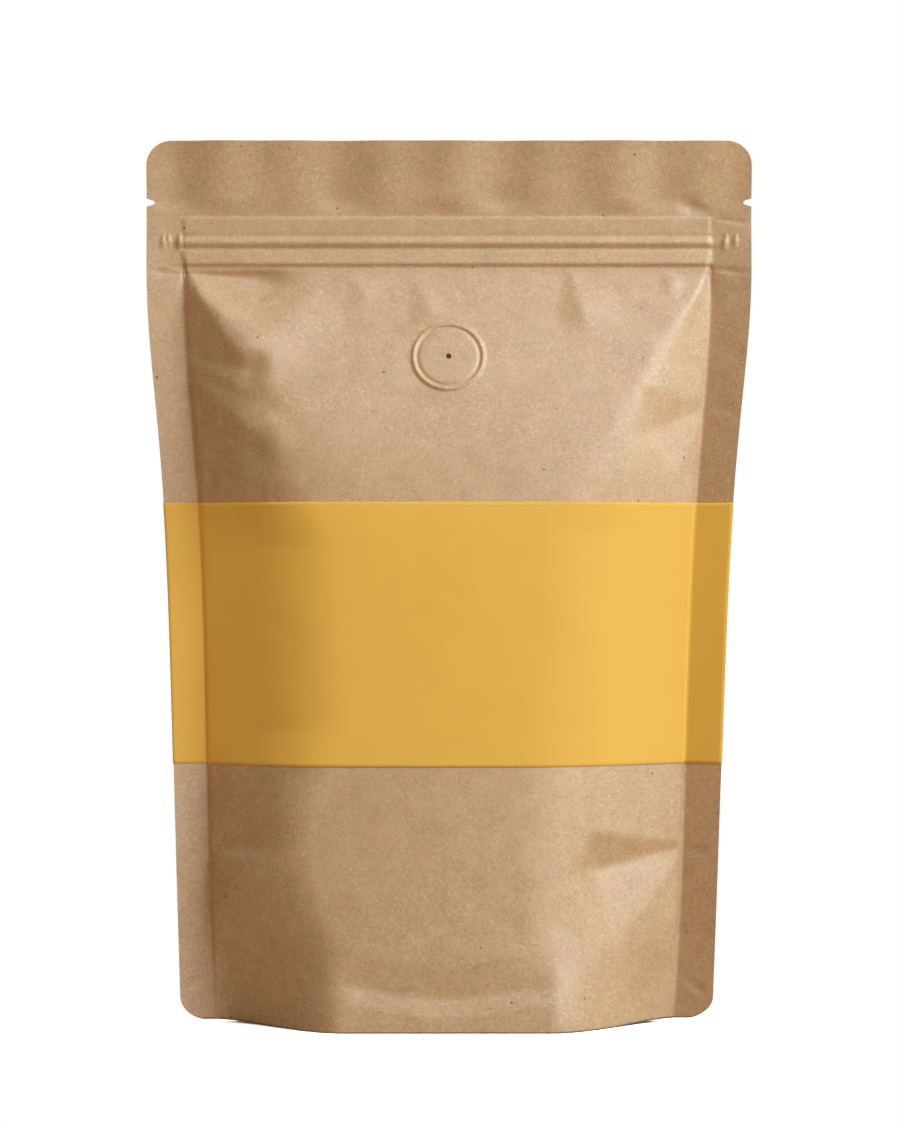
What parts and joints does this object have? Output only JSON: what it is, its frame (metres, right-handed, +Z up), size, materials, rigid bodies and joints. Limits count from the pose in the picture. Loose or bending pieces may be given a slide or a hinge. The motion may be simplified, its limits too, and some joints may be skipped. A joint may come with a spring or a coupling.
{
  "type": "kraft coffee pouch",
  "caption": "Filled, shut stand-up coffee pouch of kraft paper, with a zip, tear notches, a degassing valve, a bottom gusset and a plain yellow paper band.",
  "frame": {"origin": "on the floor, midway across and midway deep below the standing pouch", "axes": "+Z up along the standing height, +X to the right along the width, and -Y out of the front"},
  "size_m": [0.1601, 0.0588, 0.2331],
  "materials": {
    "kraft_paper": "uncoated matte kraft paper with fine fibres",
    "yellow_paper": "matte yellow paper"
  },
  "bodies": {
    "root": {"pouch": "kraft_paper", "label_band": "yellow_paper"}
  },
  "joints": []
}
